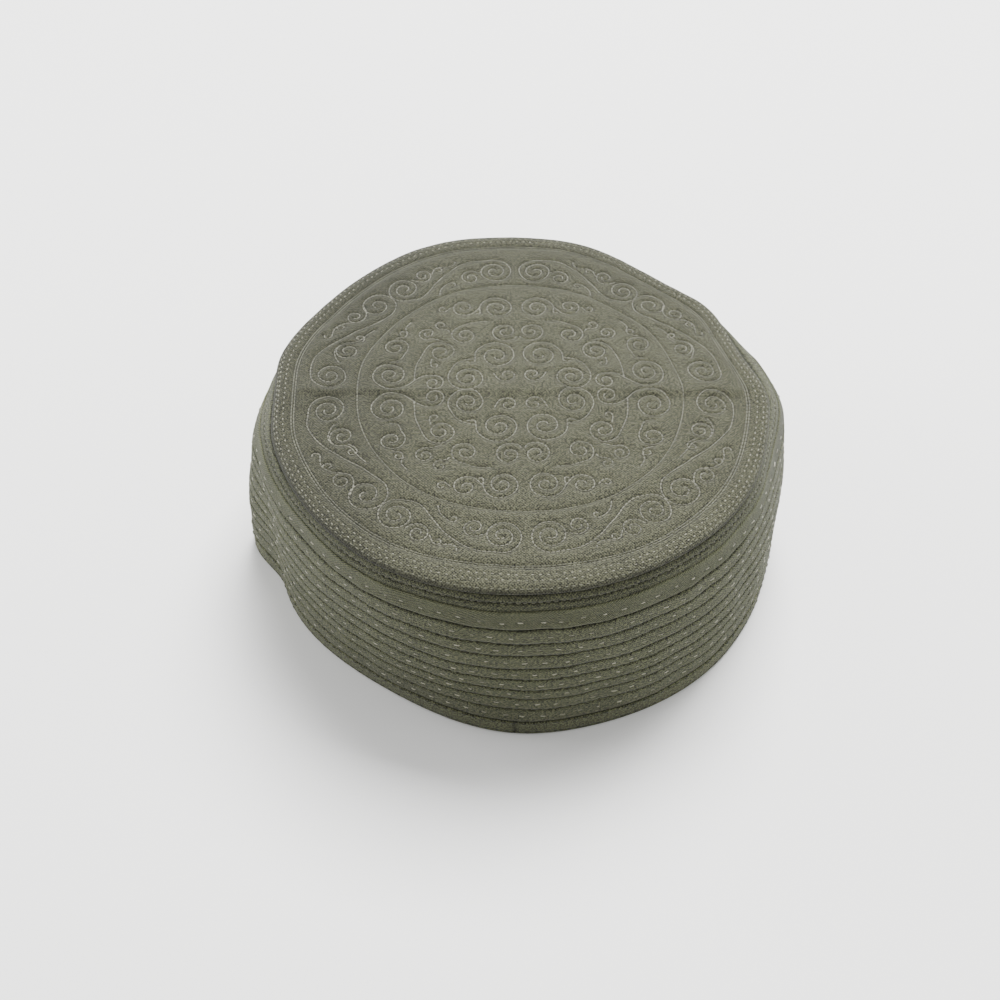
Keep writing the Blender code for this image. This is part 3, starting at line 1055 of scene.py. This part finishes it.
circle_lines = [circle(radius, LINE_STEP, FRONT_DIP) for radius in CIRCLES]
row_lines = [circle(radius, LINE_STEP, FRONT_DIP) for radius in DOT_ROWS]
edge_line = [point - PATTERN_MIDDLE for point in circle(EDGE_ROW, LINE_STEP)]
print("metres of circle:", round(sum(len(line) for line in circle_lines) * LINE_STEP * MM, 1))

# %% [markdown]
# ## The crown
# The crown is padded and stitched flat along every line, so each line lies in a small valley
# and the cloth swells between. The mesh is a square grid pressed into a disc, which spreads its
# points more evenly than rings would.

# %% Surface of the crown
# All in millimetres
LINE_DEPTH = 0.42
LINE_WIDTH = 0.60
PUFF = 0.28
PUFF_WIDTH = 1.8
ROW_DEPTH = 0.18
ROW_WIDTH = 0.6
ROWS_FROM = 80
TURN_FROM = 87.2
TURN_WIDTH = 3.5


def tree_of(lines):
    """A search tree of all the points of these lines."""
    points = [point for line in lines for point in line]
    tree = kdtree.KDTree(len(points))
    for number, point in enumerate(points):
        tree.insert((point.x, point.y, 0), number)
    tree.balance()
    return tree


line_tree = tree_of(scroll_lines + circle_lines)
row_tree = tree_of(row_lines)


def to_line(x, y):
    """Distance to the nearest stitched line, in millimetres."""
    return line_tree.find((x, y, 0))[2]


def crown_relief(x, y, away):
    """Height of the padding over the flat crown, in millimetres."""
    valley = -LINE_DEPTH * math.exp(-(away / LINE_WIDTH) ** 2)
    puff = PUFF * (1 - math.exp(-(away / PUFF_WIDTH) ** 2))
    radius = math.hypot(x, y)
    if radius > ROWS_FROM:
        valley -= ROW_DEPTH * math.exp(-(row_tree.find((x, y, 0))[2] / ROW_WIDTH) ** 2)
    swell = 0.45 * noise.noise(Vector((x / 17, y / 17, 3)))
    swell += 0.12 * noise.noise(Vector((x / 5, y / 5, 7)))
    # The old fold is a soft step down in front of the ridge, deepest at its ends
    fold = 0.7 + 0.5 * eased((abs(x) - 20) / 30) + 0.5 * eased((-x - 30) / 40)
    crease = -0.6 * fold * eased(-y / 4.0) * (1 - eased((-y - 4) / 42)) * eased((86 - radius) / 8)
    turn_down = 0.0
    if radius > TURN_FROM:
        turn_down = (0.17 * y / radius - 0.45) * ((radius - TURN_FROM) / TURN_WIDTH) ** 2
    return (valley + puff * eased((EDGE_ROW - radius) / 2) + swell + crease + turn_down) * MM


def crown_point(x, y, lift):
    """A point on the crown over these flat millimetres, lifted by metres."""
    azimuth = azimuth_of(x, y)
    reach = math.hypot(x, y) * MM / CROWN_RADIUS
    squeeze = wall_radius(azimuth, 1.0) - CROWN_RADIUS
    radius = CROWN_RADIUS * reach + squeeze * reach ** 3
    height = CAP_HEIGHT - rim_fall(azimuth) * reach + lift
    return polar_point(azimuth, radius, height) + CENTRE


# %% Mesh of the crown
GRID = 290
CROWN_EDGE = CROWN_RADIUS / MM
GRID_INSET = 0.9  # the disc ends this far inside the crown's edge
# Place outside CROWN_EDGE and drop, in millimetres, and shares of the radius
EDGE_RINGS = ((-0.35, 0.22), (-0.05, 0.65), (0.0, 1.1), (-0.2, 1.75), (-0.7, 2.2))
UNDERSIDE = (0.80, 0.50, 0.22, 0.0)
UNDERSIDE_DROP = EDGE_RINGS[-1][1]


def disc_place(u, v):
    """Presses the square's point (u, v), both from -1 to 1, into the unit disc."""
    if u == 0 and v == 0:
        return 0.0, 0.0
    if abs(u) > abs(v):
        radius, angle = u, math.pi / 4 * v / u
    else:
        radius, angle = v, math.pi / 2 - math.pi / 4 * u / v
    return radius * math.cos(angle), radius * math.sin(angle)


bm = bmesh.new()
bmesh.ops.create_grid(bm, x_segments=GRID, y_segments=GRID, size=1.0)
for vert in bm.verts:
    x, y = disc_place(vert.co.x, vert.co.y)
    vert.co = Vector((x, y, 0)) * (CROWN_EDGE - GRID_INSET)
rim = [edge for edge in bm.edges if edge.is_boundary]


def next_ring(bm, edges, radius, drop):
    """Extrudes the edge ring to this flat radius and drop."""
    made = bmesh.ops.extrude_edge_only(bm, edges=edges)["geom"]
    for vert in (item for item in made if isinstance(item, bmesh.types.BMVert)):
        flat = vert.co.xy.normalized() * radius
        vert.co = (flat.x, flat.y, -drop)
    return [item for item in made if isinstance(item, bmesh.types.BMEdge)]


for out, drop in EDGE_RINGS:
    rim = next_ring(bm, rim, CROWN_EDGE + out, drop)
for share in UNDERSIDE:
    rim = next_ring(bm, rim, CROWN_EDGE * share, UNDERSIDE_DROP)
bmesh.ops.remove_doubles(bm, verts=bm.verts, dist=1e-4)
uv_layer = bm.loops.layers.uv.new("cloth")
for face in bm.faces:
    for loop in face.loops:
        flat, drop = loop.vert.co.xy, -loop.vert.co.z
        loop[uv_layer].uv = flat * (1 + drop / max(flat.length, 1.0)) * MM
raised = bm.verts.layers.float.new("raised")
for vert in bm.verts:
    x, y, level = vert.co
    relief = 0.0
    if level > -2.0:
        away = to_line(x, y)
        relief = crown_relief(x, y, away) * eased((2.0 + level) / 1.2)
        # Painted shade: the cloth is darkened at the left, at the back and round the edge, on the
        # turned-down rim and underside, and in the valleys beside the stitched lines
        painted_shade = 0.6 * eased((-x - 20) / 45) + 0.35 * eased((y - 20) / 60)
        painted_shade += 0.35 * eased((math.hypot(x, y) - 88.8) / 1.0)
        vert[raised] = (0.45 + 0.55 * eased(away / 0.75)) * (1 - 0.6 * eased(-level / 1.5)) - painted_shade
    vert.co = crown_point(x, y, relief + level * MM)
crown = finished("embroidered_crown", bm, crown_cotton, "crown_panel")

# %% [markdown]
# ## The embroidery
# The scrolls are sewn in small even stitches of a slightly paler thread, and the three circles in
# thread of the cloth's own colour. Two rows of short pale stitches run outside the circles, and
# a last row holds the crown's turned edge.

# %% Stitches along the crown's lines
def crown_stitches(line, pitch, shown, width, lift=0.0):
    """Stitches along a line, in millimetres. shown is the share of the pitch on top."""
    made = []
    even = resampled(line, pitch)
    for start, end in zip(even, even[1:]):
        stitch = []
        for part, rise, share in STITCH_SHAPE:
            x, y = start.lerp(end, 0.5 + (part - 0.5) * shown)
            pulled = 0.16 * noise.noise(Vector((x / 7, y / 7, 11)))
            height = crown_relief(x, y, to_line(x, y)) + (lift + pulled + rise * width / 2) * MM
            stitch.append((crown_point(x, y, height), share))
        made.append(stitch)
    return made


SCROLL_STITCH = 1.7
SCROLL_WIDTH = 0.44
RIM_WIDTH = 0.40
scroll_stitches = []
for line in scroll_lines:
    scroll_stitches += crown_stitches(line, SCROLL_STITCH, 0.88, SCROLL_WIDTH, lift=0.10)
sew("scroll_stitches", scroll_stitches, SCROLL_WIDTH * MM, scroll_thread)
circle_stitches = []
for line in circle_lines:
    circle_stitches += crown_stitches(line, SCROLL_STITCH, 1.0, SCROLL_WIDTH, lift=0.05)
sew("circle_stitches", circle_stitches, SCROLL_WIDTH * MM, cloth_thread)
line_holes = needle_holes(scroll_stitches, share=0.5, length=0.25 * MM)
line_holes += needle_holes(circle_stitches, share=0.6, length=0.25 * MM)
sew("scroll_needle_holes", line_holes, 0.42 * MM, dark_thread_and_hole_shade)

dot_stitches = []
for line in row_lines:
    dot_stitches += crown_stitches(line, pitch=2.6, shown=0.29, width=0.38, lift=0.03)
sew("rim_stitches", dot_stitches, RIM_WIDTH * MM, rim_thread)
edge_stitches = crown_stitches(edge_line, pitch=2.4, shown=0.55, width=RIM_WIDTH, lift=-0.08)
sew("edge_stitches", edge_stitches, RIM_WIDTH * MM, cloth_thread)
rim_holes = needle_holes(dot_stitches, share=0.9, length=0.35 * MM)
rim_holes += needle_holes(edge_stitches, share=0.9, length=0.35 * MM)
sew("rim_needle_holes", rim_holes, HOLE_WIDTH, dark_thread_and_hole_shade)

# %% [markdown]
# ## The floor and the light
# The cap stands on a plain pale floor under an even white sky. A broad lamp above and behind
# makes the crown lighter than the wall, and a lamp at each side picks out the channels.

# %% Floor
FLOOR_HALF = 3.0
FLOOR_GAP = 0.0002
floor_finish = Finish("floor")
place = floor_finish.node("TexCoord", {}, {}, output="Object")
cloud = floor_finish.grain(place, (3, 3, 3))
pale_floor = floor_finish.mix(cloud, (0.86, 0.86, 0.85, 1), (0.89, 0.89, 0.88, 1))
floor_finish.set("Base Color", pale_floor)
floor_finish.set("Roughness", 0.8)
bm = bmesh.new()
bmesh.ops.create_grid(bm, x_segments=4, y_segments=4, size=FLOOR_HALF)
bmesh.ops.translate(bm, verts=bm.verts, vec=(0, 0, -FLOOR_GAP))
floor_mesh = bpy.data.meshes.new("floor")
bm.to_mesh(floor_mesh)
bm.free()
floor_mesh.materials.append(floor_finish.material)
floor = in_scene("floor", floor_mesh)
print("floor:", 2 * FLOOR_HALF, "m wide")

# %% Lamps and sky
SKY_STRENGTH = 0.74


def soft_lamp(name, place, width, power):
    """A square lamp that faces the cap."""
    lamp = bpy.data.lights.new(name, "AREA")
    lamp.shape = "SQUARE"
    lamp.size = width
    lamp.energy = power
    stand = in_scene(name, lamp)
    stand.location = place
    towards = Vector((0, 0, 0.05)) - stand.location
    stand.rotation_euler = towards.to_track_quat("-Z", "Y").to_euler()
    print(name, power, "W")


soft_lamp("top_lamp", Vector((0.30, 0.85, 1.65)), 1.0, 122.0)
soft_lamp("left_lamp", Vector((-1.1, 0.3, 0.30)), 0.7, 13.5)
soft_lamp("right_lamp", Vector((1.1, 0.0, 0.30)), 0.7, 4.0)
sky = bpy.data.worlds.new("sky")
bpy.context.scene.world = sky
sky.use_nodes = True
sky.node_tree.nodes["Background"].inputs["Color"].default_value = (1, 1, 1, 1)
sky.node_tree.nodes["Background"].inputs["Strength"].default_value = SKY_STRENGTH
